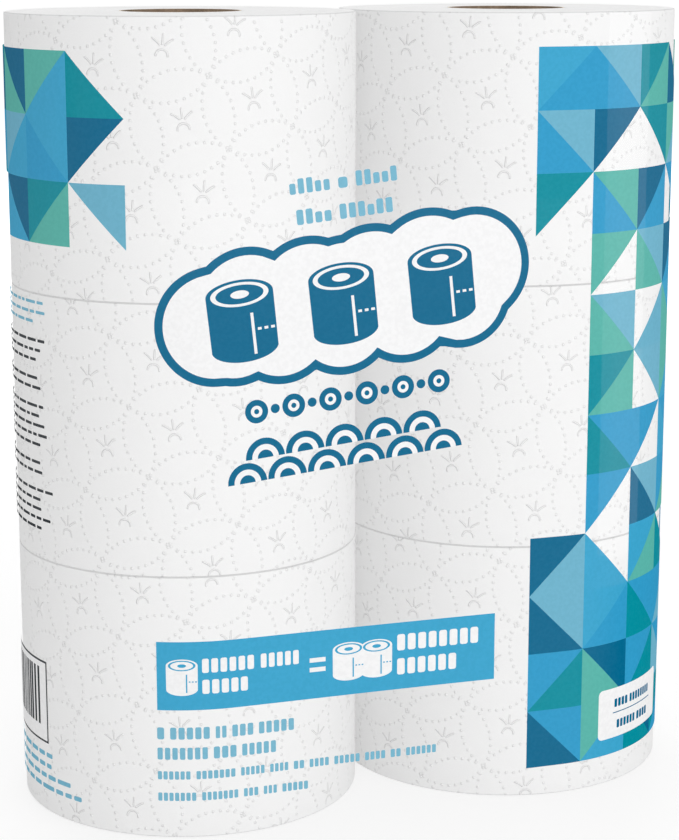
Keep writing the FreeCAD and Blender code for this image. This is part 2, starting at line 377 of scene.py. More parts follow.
def makeRoll(values, name, centre, low, high, tailDirection, materials):
    chance = random.Random(name)
    outerRadius = (high.x - low.x) / 2
    boreRadius = coreRadius + values["coreFit"]
    section = rollSection(values, boreRadius, outerRadius, low.z, high.z, chance)
    bm = bmesh.new()
    points = [bm.verts.new((centre.x + radius, centre.y, height)) for radius, height in section]
    rim = [bm.edges.new(pair) for pair in zip(points, points[1:] + points[:1])]
    bmesh.ops.spin(bm, geom=points + rim, cent=centre, axis=(0, 0, 1), angle=2 * math.pi,
                   steps=values["segments"], use_merge=True)
    bmesh.ops.remove_doubles(bm, verts=bm.verts, dist=1e-6)

    # Two cuts a hair apart give the loose end of the paper its step
    tail = math.radians(tailDirection)
    for nudge in (-values["tailCut"], values["tailCut"]):
        across = tail + nudge + math.pi / 2
        bmesh.ops.bisect_plane(bm, geom=bm.verts[:] + bm.edges[:] + bm.faces[:], plane_co=centre,
                               plane_no=(math.cos(across), math.sin(across), 0))
    bmesh.ops.recalc_face_normals(bm, faces=bm.faces)

    seed = Vector((chance.random() * 50, chance.random() * 50, 0))
    for vertex in bm.verts:
        outward = Vector((vertex.co.x - centre.x, vertex.co.y - centre.y, 0))
        radius = outward.length
        if radius < boreRadius + 1e-5:
            continue
        outward.normalize()
        share = (radius - boreRadius) / (outerRadius - boreRadius)
        place = outward * values["waverRound"] + Vector((0, 0, vertex.co.z * values["waverUp"])) + seed
        push = noise.noise(place) * values["waver"] * share
        fromTail = (math.atan2(outward.y, outward.x) - tail) % (2 * math.pi)
        onSide = low.z + values["edgeRadius"] < vertex.co.z < high.z - values["edgeRadius"]
        if fromTail < values["tailAngle"] and onSide:
            push += values["tailHeight"] * (1 - fromTail / values["tailAngle"])
        vertex.co += outward * push

    uvLayer = bm.loops.layers.uv.new("paper")
    shiftAcross, shiftUp = [chance.random() * most for most in values["patternShift"]]
    for face in bm.faces:
        face.smooth = True
        middle = face.calc_center_median()
        isEnd = abs(face.normal.z) > 0.9
        face.material_index = 1 if isEnd else 0
        faceAngle = (math.atan2(middle.y - centre.y, middle.x - centre.x) - tail) % (2 * math.pi)
        for loop in face.loops:
            x, y = loop.vert.co.x - centre.x, loop.vert.co.y - centre.y
            if isEnd:
                loop[uvLayer].uv = (x / mm, y / mm)
                continue
            angle = math.atan2(y, x) - tail
            angle += 2 * math.pi * round((faceAngle - angle) / (2 * math.pi))
            across = angle * outerRadius / mm + shiftAcross
            loop[uvLayer].uv = (across, (loop.vert.co.z - low.z) / mm + shiftUp)
    return finishMesh(bm, name, materials)


def makeRolls():
    low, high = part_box("roll_right_bottom")
    outerRadius = -low.y
    emboss = makeEmbossGroup(embossing)
    materials = [makeTissueSide(tissue, emboss, low.z, high.z - low.z), makeTissueEnd(tissue)]
    for column, side in (("left", -1), ("right", 1)):
        for level, levelName in enumerate(levelNames):
            node = f"roll_{column}_{levelName}"
            low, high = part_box(node)
            centre = Vector((side * columnX, 0, 0))
            low = Vector((centre.x - outerRadius, -outerRadius, low.z))
            high = Vector((centre.x + outerRadius, outerRadius, high.z))
            piece = makeRoll(roll, f"tissue_roll_{column}_{levelName}", centre, low, high,
                             tailDirections[column][level], materials)
            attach(piece, "root")
            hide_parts(node)
            # Each roll is lit as if it stood alone, which keeps the valley pale
            piece.visible_diffuse = False
    print("rolls made")


# Cardboard of the cores

board = {
    "brown": srgb(134, 114, 96),
    "dark": srgb(103, 87, 72),
    "pale": srgb(170, 148, 122),
    "cutEnd": srgb(232, 216, 192),
    "plyWidth": 62.0 * mm,  # between two turns of the spiral joint
    "plyDepth": 0.25 * mm,
    "fibreScale": 900.0,
    "cloudScale": 90.0,
    "fleckScale": 2300.0,
}


def makeBoard(values):
    material, tree, shader = newMaterial("coreBoard", Roughness=0.85)
    shader.inputs["Specular IOR Level"].default_value = 0.25
    x, y, z = splitVector(tree, coordinates(tree, "Object"))
    aside = calc(tree, "SUBTRACT", calc(tree, "ABSOLUTE", x), columnX)
    angle = calc(tree, "ARCTAN2", y, aside)
    turns = calc(tree, "DIVIDE", angle, 2 * math.pi)
    rise = calc(tree, "DIVIDE", z, values["plyWidth"])
    joint = calc(tree, "PINGPONG", calc(tree, "ADD", rise, turns), 0.5)
    ridge = ramp(tree, joint, 0.0, 0.03, 1.0, 0.0)
    fibres = noiseAt(tree, coordinates(tree, "Object"), values["fibreScale"], detail=5.0, roughness=0.7)
    clouds = noiseAt(tree, coordinates(tree, "Object"), values["cloudScale"], detail=3.0)
    flecks = noiseAt(tree, coordinates(tree, "Object"), values["fleckScale"], detail=1.0)
    tone = mixColor(tree, ramp(tree, clouds, 0.3, 0.7, 0.0, 1.0), values["brown"], values["dark"])
    tone = mixColor(tree, ramp(tree, fibres, 0.45, 0.75, 0.0, 0.5), tone, values["pale"])
    tone = mixColor(tree, ramp(tree, flecks, 0.62, 0.72, 0.0, 0.5), tone, values["dark"])
    tone = mixColor(tree, calc(tree, "MULTIPLY", ridge, 0.55), tone, values["dark"])
    facing = tree.nodes.new("ShaderNodeNewGeometry")
    upright = calc(tree, "ABSOLUTE", splitVector(tree, facing.outputs["Normal"])[2])
    tone = mixColor(tree, ramp(tree, upright, 0.6, 0.9, 0.0, 1.0), tone, values["cutEnd"])
    tree.links.new(tone, shader.inputs["Base Color"])
    height = calc(tree, "SUBTRACT", calc(tree, "MULTIPLY", fibres, 0.35), ridge)
    tree.links.new(bump(tree, height, values["plyDepth"], 0.7), shader.inputs["Normal"])
    return material


def dressCores():
    material = makeBoard(board)
    for name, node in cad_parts.items():
        if name.startswith("core_"):
            node.material_slots[0].material = material
            node.visible_diffuse = False
    print("cores dressed")


# Film: laid out flat as a strip, then wrapped round both columns

film = {
    "wall": 0.05 * mm,
    "alongStep": 2.2 * mm,
    "wallSteps": 44,
    "cornerRadius": 1.0 * mm,
    "cornerSteps": 5,
    "shoulder": 3.0 * mm,
    "lipReach": 10.0 * mm,
    "lipSteps": 6,
    "lipRest": 0.18 * mm,
    "lowerLipRise": 0.3 * mm,
    "pucker": 0.12 * mm,
    "puckerLength": 9.0 * mm,
    "puckerBeat": 2.7,      # a second, longer wave keeps the puckers uneven
    "relief": 0.06 * mm,
    "reliefScale": 17.0,
    "reliefUp": 9.0,
    "valleySag": 0.5 * mm,
    "sagFade": 14.0 * mm,   # the sag fades out over this height at each end
    "seed": 5,
}
roundLength = math.pi * filmRadius
filmGirth = 4 * columnX + 2 * roundLength


# Clear film, and print that lies so close to the paper, leave no shadow there
def letLightThrough(piece):
    piece.visible_shadow = False
    piece.visible_diffuse = False


# Small unevenness of the taut film: slow waves, and a slight sag where it bridges the columns
def filmRelief(along, up):
    around = 2 * math.pi * along / filmGirth
    radius = filmGirth * film["reliefScale"] / 2 / math.pi
    place = Vector((math.cos(around) * radius, math.sin(around) * radius, up * film["reliefUp"]))
    waves = noise.noise(place)
    fromValley = min(abs(along), abs(abs(along) - filmGirth / 2)) / columnX
    sag = film["valleySag"] * max(0.0, 1 - fromValley ** 2) ** 2
    ends = max(0.0, min(1.0, min(up, filmTop - up) / film["sagFade"]))
    return waves * film["relief"] - sag * ends - film["relief"]


# A point of the flat layout on the film: along from the front middle to the right, up, and off its face
def onFilm(along, up, lift):
    reach = filmRadius + lift
    distance = abs(along)
    if distance <= columnX:
        x, y = distance, -reach
    elif distance <= columnX + roundLength:
        turn = (distance - columnX) / filmRadius
        x, y = columnX + reach * math.sin(turn), -reach * math.cos(turn)
    else:
        x, y = 2 * columnX + roundLength - distance, reach
    return Vector((math.copysign(x, along) if distance < filmGirth / 2 else x, y, up))


# Inset and height of each row of the film's section, from the lower lip's edge to the upper lip's edge
def filmSection(values, rollTop):
    corner = values["cornerRadius"]
    lip = values["lipReach"] - corner
    rows = []
    for step in range(values["lipSteps"]):
        share = 1 - step / values["lipSteps"]
        rows.append((corner + lip * share, values["lowerLipRise"] * share, share))
    turns = [math.pi / 2 * step / values["cornerSteps"] for step in range(values["cornerSteps"] + 1)]
    rows += [(corner * (1 - math.sin(turn)), corner * (1 - math.cos(turn)), 0.0) for turn in turns]
    wallStep = (filmTop - 2 * corner) / values["wallSteps"]
    rows += [(0.0, corner + wallStep * step, 0.0) for step in range(1, values["wallSteps"])]
    rows += [(corner * (1 - math.cos(turn)), filmTop - corner * (1 - math.sin(turn)), 0.0) for turn in turns]
    for step in range(1, values["lipSteps"] + 1):
        share = step / values["lipSteps"]
        inset = corner + lip * share
        ease = max(0.0, (inset - values["shoulder"]) / (values["lipReach"] - values["shoulder"]))
        rows.append((inset, filmTop + (rollTop + values["lipRest"] - filmTop) * ease, share))
    return rows


def makeFilmMesh(values, materials):
    rows = filmSection(values, coreHigh.z)
    columns = round(filmGirth / values["alongStep"])
    bm = bmesh.new()
    bmesh.ops.create_grid(bm, x_segments=columns, y_segments=len(rows) - 1, size=0.5)
    phase = random.Random(values["seed"]).random() * 10
    for vertex in bm.verts:
        column = round((vertex.co.x + 0.5) * columns)
        row = round((vertex.co.y + 0.5) * (len(rows) - 1))
        inset, up, onLip = rows[row]
        along = (column / columns - 0.5) * filmGirth * 0.9999999    # keeps each end on its own side
        lift = filmRelief(along, up) * (1 - onLip) - inset
        co = onFilm(along, up, lift)
        if up > filmTop / 2 and onLip > 0:
            turn = 2 * math.pi * along / values["puckerLength"]
            wave = math.sin(turn + 1.7 * math.sin(along * 31 + phase))
            wave += 0.6 * math.sin(turn / values["puckerBeat"] + phase)
            co.z += values["pucker"] * onLip ** 1.5 * (0.75 + 0.55 * wave)
        vertex.co = co
    bmesh.ops.remove_doubles(bm, verts=bm.verts, dist=1e-6)
    bmesh.ops.recalc_face_normals(bm, faces=bm.faces)
    for face in bm.faces:
        face.smooth = True
    piece = finishMesh(bm, "film_sleeve", materials)
    thickness = piece.modifiers.new("filmWall", "SOLIDIFY")
    thickness.thickness = values["wall"]
    thickness.offset = -1.0
    return piece


ripples = {"scale": 46.0, "depth": 0.4 * mm, "strength": 0.08}


# Faint ripples of the film, which the print on it shares
def addRipples(tree):
    height = noiseAt(tree, coordinates(tree, "Object"), ripples["scale"], detail=2.0)
    return bump(tree, height, ripples["depth"], ripples["strength"])


filmLook = {
    "gloss": 0.03,
    "tint": (1.0, 1.0, 1.0, 1.0),
    "clear": (1.0, 1.0, 1.0, 1.0),
    "index": 1.26,
    "haze": 0.002,
    "mostMirror": 0.02,
    "lipMirror": 0.15,      # how much of that mirror the flat lips keep
    "metal": 1.0,
    "crimp": 0.0,
}


def makeFilmMaterial(name, values):
    material, tree, shader = newMaterial(name, Metallic=values["metal"], Roughness=values["gloss"])
    shader.inputs["Base Color"].default_value = values["tint"]
    normal = addRipples(tree)
    if values["crimp"] > 0:
        up = calc(tree, "DIVIDE", splitVector(tree, coordinates(tree, "Object"))[2], mm)
        halfRib = values["crimp"] / 2
        ribs = ramp(tree, calc(tree, "PINGPONG", up, halfRib), 0.0, halfRib, 0.0, 1.0)
        normal = bump(tree, ribs, values["crimpDepth"], 1.0, normal)
    tree.links.new(normal, shader.inputs["Normal"])
    mirror = tree.nodes.new("ShaderNodeFresnel")
    mirror.inputs["IOR"].default_value = values["index"]
    tree.links.new(normal, mirror.inputs["Normal"])
    facing = tree.nodes.new("ShaderNodeNewGeometry")
    outside = calc(tree, "SUBTRACT", 1.0, facing.outputs["Backfacing"])
    flat = calc(tree, "ABSOLUTE", splitVector(tree, facing.outputs["Normal"])[2])
    kept = calc(tree, "MULTIPLY", outside, ramp(tree, flat, 0.5, 0.95, 1.0, values["lipMirror"]))
    held = calc(tree, "MINIMUM", calc(tree, "ADD", mirror.outputs[0], values["haze"]), values["mostMirror"])
    share = calc(tree, "MULTIPLY", held, kept)
    clear = tree.nodes.new("ShaderNodeBsdfTransparent")
    clear.inputs["Color"].default_value = values["clear"]
    blend = tree.nodes.new("ShaderNodeMixShader")
    tree.links.new(share, blend.inputs[0])
    tree.links.new(clear.outputs[0], blend.inputs[1])
    tree.links.new(shader.outputs[0], blend.inputs[2])
    tree.links.new(blend.outputs[0], tree.nodes["Material Output"].inputs["Surface"])
    return material


def makeFilm():
    piece = makeFilmMesh(film, [makeFilmMaterial("clearFilm", filmLook)])
    letLightThrough(piece)
    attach(piece, "root")
    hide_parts("film_wrap")
    print("film made")


# The lap on the back, where the two edges of the film lie over each other and are sealed
lap = {
    "width": 14.0 * mm,
    "margin": 3.0 * mm,
    "acrossSteps": 7,
    "upSteps": 90,
    "lift": 0.09 * mm,
    "wall": 0.04 * mm,
    "edgeWave": 0.35 * mm,
    "waveScale": 22.0,
}
lapLook = {
    "gloss": 0.3,
    "tint": (0.9, 0.91, 0.92, 1.0),
    "clear": (0.965, 0.968, 0.972, 1.0),
    "index": 1.30,
    "haze": 0.20,
    "mostMirror": 0.24,
    "lipMirror": 1.0,
    "metal": 0.0,
    "crimp": 1.5,           # millimetres between the ribs pressed in by the sealing jaw
    "crimpDepth": 0.12 * mm,
}


def makeLap(values):
    bm = bmesh.new()
    bmesh.ops.create_grid(bm, x_segments=values["acrossSteps"], y_segments=values["upSteps"], size=0.5)
    height = filmTop - 2 * values["margin"]
    for vertex in bm.verts:
        up = filmTop / 2 + vertex.co.y * height
        wave = noise.noise(Vector((vertex.co.x * 3, up * values["waveScale"], 4))) * values["edgeWave"]
        along = filmGirth / 2 + vertex.co.x * values["width"] + wave
        vertex.co = onFilm(along, up, values["lift"] + filmRelief(along, up))
    for face in bm.faces:
        face.smooth = True
    bmesh.ops.reverse_faces(bm, faces=[face for face in bm.faces if face.normal.y < 0])
    piece = finishMesh(bm, "film_lap", [makeFilmMaterial("sealedLap", lapLook)])
    thickness = piece.modifiers.new("lapWall", "SOLIDIFY")
    thickness.thickness = values["wall"]
    thickness.offset = -1.0
    letLightThrough(piece)
    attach(piece, "root")
    print("lap made")


# Print: flat shapes laid out in millimetres, along the film from the front middle and up from its foot

inkColors = {
    "deep": srgb(0, 105, 143),
    "panel": srgb(60, 165, 206),
    "teal": srgb(0, 143, 159),
    "sea": srgb(90, 181, 170),
    "sky": srgb(111, 179, 204),
    "mid": srgb(48, 156, 202),
    "pale": srgb(122, 184, 208),
    "white": (0.91, 0.91, 0.915, 1.0),
    "black": srgb(58, 62, 66),
}
inkNames = list(inkColors)
ink = {
    "firstLift": 0.05 * mm,
    "layerLift": 0.035 * mm,
    "thickness": 0.02 * mm,
    "alongCut": 2.0 * mm,
    "upCut": 8.0 * mm,
    "sharpFrom": math.radians(40),
    "grainScale": 700.0,
}


# Flat colour under a thin gloss, whose mirror is held as low as the film's
def makeInk(name):
    material, tree, shader = newMaterial("ink" + name.capitalize(), Roughness=0.5)
    shader.inputs["Specular IOR Level"].default_value = 0.0
    shader.inputs["Coat Roughness"].default_value = filmLook["gloss"]
    shader.inputs["Coat IOR"].default_value = filmLook["index"]
    mirror = tree.nodes.new("ShaderNodeFresnel")
    mirror.inputs["IOR"].default_value = filmLook["index"]
    share = calc(tree, "DIVIDE", filmLook["mostMirror"], mirror.outputs[0])
    tree.links.new(calc(tree, "MINIMUM", share, 1.0), shader.inputs["Coat Weight"])
    grain = noiseAt(tree, coordinates(tree, "Object"), ink["grainScale"], detail=2.0)
    color = inkColors[name]
    lighter = tuple(min(1.0, channel * 1.04 + 0.003) for channel in color[:3]) + (1.0,)
    tone = mixColor(tree, ramp(tree, grain, 0.35, 0.65, 0.0, 1.0), color, lighter)
    tree.links.new(tone, shader.inputs["Base Color"])
    tree.links.new(addRipples(tree), shader.inputs["Normal"])
    return material


def paint(faces, color, layer):
    for face in faces:
        face.material_index = inkNames.index(color)
        for vertex in face.verts:
            vertex.co.z = layer


# A rectangle with rounded corners
def addBlock(bm, color, layer, left, bottom, width, height, corner=0.0, place=Matrix()):
    made = bmesh.ops.create_grid(bm, x_segments=1, y_segments=1, size=0.5)["verts"]
    bmesh.ops.scale(bm, vec=(width, height, 1), verts=made)
    faces = list(made[0].link_faces)
    if corner > 0:
        rounded = bmesh.ops.bevel(bm, geom=made, offset=corner, segments=5, profile=0.5, material=-1,
                                  affect="VERTICES")
        made = list(faces[0].verts) if faces[0].is_valid else rounded["verts"]
        faces = list({face for vertex in made for face in vertex.link_faces})
    bmesh.ops.translate(bm, vec=(left + width / 2, bottom + height / 2, 0), verts=made)
    bmesh.ops.transform(bm, matrix=place, verts=made)
    paint(faces, color, layer)


# A disc, stretched to an oval or pulled apart into the outline of a drum, or cut to its upper half
def addDisc(bm, color, layer, x, y, radius, squash=1.0, drum=0.0, half=False, place=Matrix()):
    made = bmesh.ops.create_circle(bm, cap_ends=True, segments=48, radius=radius)["verts"]
    bmesh.ops.scale(bm, vec=(1, squash, 1), verts=made)
    for vertex in made:
        if half:
            vertex.co.y = max(vertex.co.y, 0.0)
        vertex.co.y += math.copysign(drum / 2, vertex.co.y) if drum else 0.0
    bmesh.ops.translate(bm, vec=(x, y, 0), verts=made)
    bmesh.ops.transform(bm, matrix=place, verts=made)
    paint({face for vertex in made for face in vertex.link_faces}, color, layer)


# A square cell parted along one diagonal: each half has its own ink or none
def addCell(bm, layer, left, bottom, size, rising, inks):
    made = bmesh.ops.create_grid(bm, x_segments=1, y_segments=1, size=size / 2)["verts"]
    middle = Vector((left + size / 2, bottom + size / 2, 0))
    bmesh.ops.translate(bm, vec=middle, verts=made)
    ends = [vertex for vertex in made
            if ((vertex.co.x - middle.x) * (vertex.co.y - middle.y) > 0) == rising]
    bmesh.ops.connect_verts(bm, verts=ends)
    halves = sorted({face for vertex in made for face in vertex.link_faces},
                    key=lambda face: face.calc_center_median().y)
    for half, color in zip(halves, inks):
        if color is None:
            bmesh.ops.delete(bm, geom=[half], context="FACES")
        else:
            paint([half], color, layer)


# The edge of a cloud: the farthest rim of its lobes in every direction from the middle
def addCloud(bm, color, layer, lobes, grow, place):
    made = bmesh.ops.create_circle(bm, cap_ends=True, segments=300, radius=1.0)["verts"]
    for vertex in made:
        direction = vertex.co.normalized()
        reach = 0.0
        for x, y, radius in lobes:
            lobe = Vector((x, y, 0))
            nearest = lobe.dot(direction)
            missed = (lobe - direction * nearest).length
            if missed < radius + grow:
                reach = max(reach, nearest + math.sqrt((radius + grow) ** 2 - missed ** 2))
        vertex.co = direction * reach
    bmesh.ops.transform(bm, matrix=place, verts=made)
    paint({face for vertex in made for face in vertex.link_faces}, color, layer)


# Blocks that stand for letters: shares of the line's height
letters = {"width": 0.46, "gap": 0.17, "lowShare": 0.6, "corner": 0.28}


# A row of words made of plain blocks in place of a line of text, with low blocks among the tall ones
def addWords(bm, color, layer, left, bottom, height, words, gap, place=Matrix(), low=1.0, seed=1):
    chance = random.Random(seed)
    letterWidth = height * letters["width"]
    letterGap = height * letters["gap"]
    for word in words:
        count = max(1, round((word + letterGap) / (letterWidth + letterGap)))
        width = (word - letterGap * (count - 1)) / count
        for letter in range(count):
            tall = height * (low if chance.random() < letters["lowShare"] else 1.0)
            start = left + letter * (width + letterGap)
            corner = min(width, tall) * letters["corner"]
            addBlock(bm, color, layer, start, bottom, width, tall, corner, place)
        left += word + gap


# The pictogram of a roll, for a size of 1
rollSign = {
    "drum": {"radius": 0.40, "squash": 0.42, "drum": 0.62},
    "rim": {"radius": 0.345, "squash": 0.40},
    "top": {"radius": 0.285, "squash": 0.38},
    "bore": {"radius": 0.11, "squash": 0.42},
    "topHeight": 0.31,
    "cutLine": (0.10, -0.40, 0.035, 0.48),
    "dashes": [(0.17, -0.13, 0.045, 0.03), (0.25, -0.13, 0.045, 0.03), (0.33, -0.13, 0.045, 0.03)],
}


# A pictogram of one roll of tissue, seen a little from above
def addRollSign(bm, color, back, layer, x, y, size, place=Matrix()):
    place = place @ Matrix.Translation((x, y, 0)) @ Matrix.Diagonal((size, size, 1, 1))
    addDisc(bm, color, layer, 0, 0, place=place, **rollSign["drum"])
    for step, (tone, part) in enumerate(((back, "rim"), (color, "top"), (back, "bore")), 1):
        addDisc(bm, tone, layer + step, 0, rollSign["topHeight"], place=place, **rollSign[part])
    for bar in [rollSign["cutLine"]] + rollSign["dashes"]:
        addBlock(bm, back, layer + 1, *bar, place=place)


def slantedAt(x, y, degrees):
    return Matrix.Translation((x, y, 0)) @ Matrix.Rotation(math.radians(degrees), 4, "Z")


def finishPrint(bm, name):
    bounds = [vertex.co.copy() for vertex in bm.verts]
    for axis, cut in ((0, ink["alongCut"]), (1, ink["upCut"])):
        normal = Vector((1, 0, 0)) if axis == 0 else Vector((0, 1, 0))
        low = min(co[axis] for co in bounds)
        high = max(co[axis] for co in bounds)
        place = math.ceil(low * mm / cut) * cut
        while place < high * mm:
            bmesh.ops.bisect_plane(bm, geom=bm.verts[:] + bm.edges[:] + bm.faces[:], dist=1e-5,
                                   plane_co=normal * place / mm, plane_no=normal)
            place += cut
    bmesh.ops.solidify(bm, geom=bm.faces[:], thickness=-ink["thickness"] / ink["layerLift"])
    for vertex in bm.verts:
        along, up = vertex.co.x * mm, vertex.co.y * mm
        lift = ink["firstLift"] + vertex.co.z * ink["layerLift"] + filmRelief(along, up)
        vertex.co = onFilm(along, up, lift)
    bmesh.ops.recalc_face_normals(bm, faces=bm.faces)
    for face in bm.faces:
        face.smooth = True
    for edge in bm.edges:
        edge.smooth = edge.calc_face_angle(0) < ink["sharpFrom"]
    piece = finishMesh(bm, name, [inkMaterials[key] for key in inkNames])
    letLightThrough(piece)
    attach(piece, "root")


mosaic = {
    "cell": 22.9,
    "top": 287.0,
    "rightEdge": 51.0,
    "rightRows": 12,
    "leftEdge": -102.0,
    "leftColumns": 4,
    "leftRows": 3,
    "rightSeed": 892,
    "leftSeed": 2660,
    "tones": ["deep", "teal", "sea", "mid", "sky", "sea", "mid", "panel"],
    # Chance of a filled half in each column of the right field, at its top, middle and bottom
    "rightFill": [(0.95, 0.0, 0.7), (0.6, 0.6, 0.9), (0.75, 0.75, 0.95), (0.85, 0.8, 0.95),
                  (0.8, 0.75, 0.9), (0.6, 0.5, 0.8)],
    # The same in the left field: its first column, and the others' top row and what each lower row loses
    "leftFill": (0.4, 0.9, 0.15),
}


def makeMosaic(values):
    bm = bmesh.new()
    cell = values["cell"]

    def fillCell(chance, left, bottom, fill, rising):
        last = None
        inks = []
        for _ in range(2):
            color = chance.choice([tone for tone in values["tones"] if tone != last])
            inks.append(color if chance.random() < fill else None)
            last = color
        addCell(bm, 0, left, bottom, cell, rising, inks)

    chance = random.Random(values["rightSeed"])
    for column, (top, middle, bottom) in enumerate(values["rightFill"]):
        for row in range(values["rightRows"]):
            share = row / (values["rightRows"] - 1) * 2
            fill = top + (middle - top) * share if share < 1 else middle + (bottom - middle) * (share - 1)
            left = values["rightEdge"] + column * cell
            fillCell(chance, left, values["top"] - (row + 1) * cell, fill, (row + column) % 2 == 0)

    chance = random.Random(values["leftSeed"])
    firstColumn, topRow, loss = values["leftFill"]
    for column in range(values["leftColumns"]):
        for row in range(values["leftRows"]):
            fill = firstColumn if column == 0 else topRow - loss * row
            left = values["leftEdge"] - (column + 1) * cell
            fillCell(chance, left, values["top"] - (row + 1) * cell, fill, (row + column) % 2 == 1)
    finishPrint(bm, "print_mosaic")


plaque = {
    "middle": (-22.3, 198.5),
    "slant": 6.0,
    "outline": 6.6,
    "inside": 3.6,
    "lobes": [(-49, -2, 15), (-36, 3, 15), (-13, 3, 15.5), (11, 4, 15.5), (33, 5, 17), (50, 5, 15),
              (44, -5, 13), (22, -6, 14), (-2, -7, 13.5), (-25, -6, 14), (-42, -5, 13), (0, 0, 17)],
    "signs": [(-39, -1.5), (-1, -1.2), (37, 0)],
    "signSize": 31.0,
}


def makePlaque(values):
    bm = bmesh.new()
    place = slantedAt(*values["middle"], values["slant"])
    addCloud(bm, "deep", 0, values["lobes"], values["outline"], place)
    addCloud(bm, "white", 1, values["lobes"], values["inside"], place)
    for x, y in values["signs"]:
        addRollSign(bm, "deep", "white", 2, x, y, values["signSize"], place)
    finishPrint(bm, "print_plaque")


# Lines of letters are given by their left end, foot, height and words
captions = {
    "slant": 5.6,
    "wordGap": 2.2,
    "headPlace": (-43.0, 236.0),
    "headGap": 3.2,
    "headLow": 0.72,        # low letters' share of the line's height
    "heads": [(0.0, 0.8, 5.4, [15.0, 3.5, 15.5]), (1.6, -10.2, 5.4, [13.0, 20.0])],
    "dots": {"left": -59.0, "bottom": 154.6, "rise": 5.0, "count": 11, "pitch": 7.0, "small": 1.7,
             "rings": [("deep", 4.3), ("white", 2.15), ("deep", 0.946)]},
    "scales": {"left": -67.0, "bottom": 133.2, "count": 6, "pitch": 15.1, "radius": 7.35,
               "rise": 1.12, "rings": [("deep", 1.0), ("white", 0.68), ("deep", 0.4)]},
    "lines": [
        (-94.0, 38.7, 4.6, [2.6, 14.5, 4.0, 8.0, 13.5]),
        (-94.0, 30.9, 4.6, [18.5, 8.5, 13.0]),
        (-94.0, 23.2, 3.2, [12.0, 14.5, 9.0, 7.0, 4.0, 7.5, 10.0, 8.0, 4.0, 12.0]),
        (-94.0, 14.9, 3.2, [14.0, 13.5, 5.5, 5.0, 10.0]),
    ],
}


def makeCaptions(values):
    bm = bmesh.new()
    place = slantedAt(*values["headPlace"], values["slant"])
    for seed, line in enumerate(values["heads"], 1):
        addWords(bm, "pale", 0, *line, values["headGap"], place, values["headLow"], seed)

    dots = values["dots"]
    place = slantedAt(dots["left"], dots["bottom"], values["slant"])
    for index in range(dots["count"]):
        x = (index + 0.5) * dots["pitch"]
        rings = dots["rings"] if index % 2 == 0 else [("deep", dots["small"])]
        for layer, (color, radius) in enumerate(rings):
            addDisc(bm, color, layer, x, dots["rise"], radius, place=place)

    # A border of wave scales, two rows high
    scales = values["scales"]
    place = slantedAt(scales["left"], scales["bottom"], values["slant"])
    for row in range(2):
        for index in range(scales["count"] - row):
            x = (index + 0.5 + row * 0.5) * scales["pitch"]
            y = row * scales["radius"] * scales["rise"]
            for layer, (color, share) in enumerate(scales["rings"]):
                addDisc(bm, color, layer, x, y, scales["radius"] * share, half=True, place=place)

    for line in values["lines"]:
        addWords(bm, "pale", 0, *line, values["wordGap"])
    finishPrint(bm, "print_captions")


panel = {
    "inks": ("panel", "white"),
    "layer": 0,
    "field": (-93.8, 49.9, 130.9, 26.0),
    "corner": 0.0,
    "signs": [(-84.6, 62.4, 14.5), (-21.2, 62.9, 15.5), (-10.2, 62.9, 15.5)],
    "lines": [(-77.2, 64.0, 5.4, [19.4, 14.6]), (-77.2, 56.0, 5.4, [17.0]),
              (-2.0, 65.0, 6.3, [32.4]), (-2.0, 55.6, 6.3, [23.6])],
    "bars": [(-36.4, 63.9, 6.2, 1.7), (-36.4, 60.2, 6.2, 1.7)],
    "wordGap": 2.6,
}
label = {
    "inks": ("white", "deep"),
    "layer": 1,
    "field": (82.3, 18.7, 43.4, 20.3),
    "corner": 2.0,
    "signs": [],
    "lines": [(90.8, 31.0, 3.4, [8.0, 16.0]), (92.4, 22.2, 3.4, [12.0, 9.0])],
    "bars": [(90.0, 28.6, 27.8, 0.4)],
    "wordGap": 1.6,
}


# A plain field with signs, letters and bars on it
def makeField(values, name):
    bm = bmesh.new()
    back, front = values["inks"]
    layer = values["layer"]
    addBlock(bm, back, layer, *values["field"], values["corner"])
    for x, y, size in values["signs"]:
        addRollSign(bm, front, back, layer + 1, x, y, size)
    for line in values["lines"]:
        addWords(bm, front, layer + 1, *line, values["wordGap"])
    for bar in values["bars"]:
        addBlock(bm, front, layer + 1, *bar)
    finishPrint(bm, name)


smallPrint = {
    "left": -186.0,
    "top": 196.0,
    "pitch": 3.6,
    "room": 49.0,           # the longest line of the text
    "ragged": 9.0,          # the most that a line falls short of it
    "blocks": [("pale", 3), ("black", 3), ("black", 2), ("black", 5), ("black", 2), ("black", 5)],
    "blockGap": 0.9,
    "text": {"height": 1.1, "gap": 1.1, "shortest": 2.5, "spread": 5.5, "leastRoom": 4.0},
    "footPlace": (-183.0, 22.5),
    "footPitch": 4.3,
    "footLines": [44.0, 40.0, 52.0, 57.0],
    "foot": {"height": 1.8, "gap": 1.3, "shortest": 3.5, "spread": 5.0, "leastRoom": 3.0},
    "corner": 0.3,
    "seed": 3,
}
barBox = {
    "place": (-182.0, 28.0),
    "size": (37.5, 32.3),
    "frame": 0.8,
    "margins": (4.0, 6.5, 5.0, 3.0),     # left, below, right and above the bars
    "bar": (0.5, 1.2),                   # thinnest, and the most that is added to it
    "gap": (0.5, 1.1),
}


# A line of print too small to part into letters: one low bar for each word
def addLine(bm, color, left, bottom, room, style, chance):
    height = style["height"]
    while room > style["leastRoom"]:
        word = min(room, style["shortest"] + chance.random() * style["spread"])
        addBlock(bm, color, 0, left, bottom, word, height, height * smallPrint["corner"])
        left += word + style["gap"]
        room -= word + style["gap"]


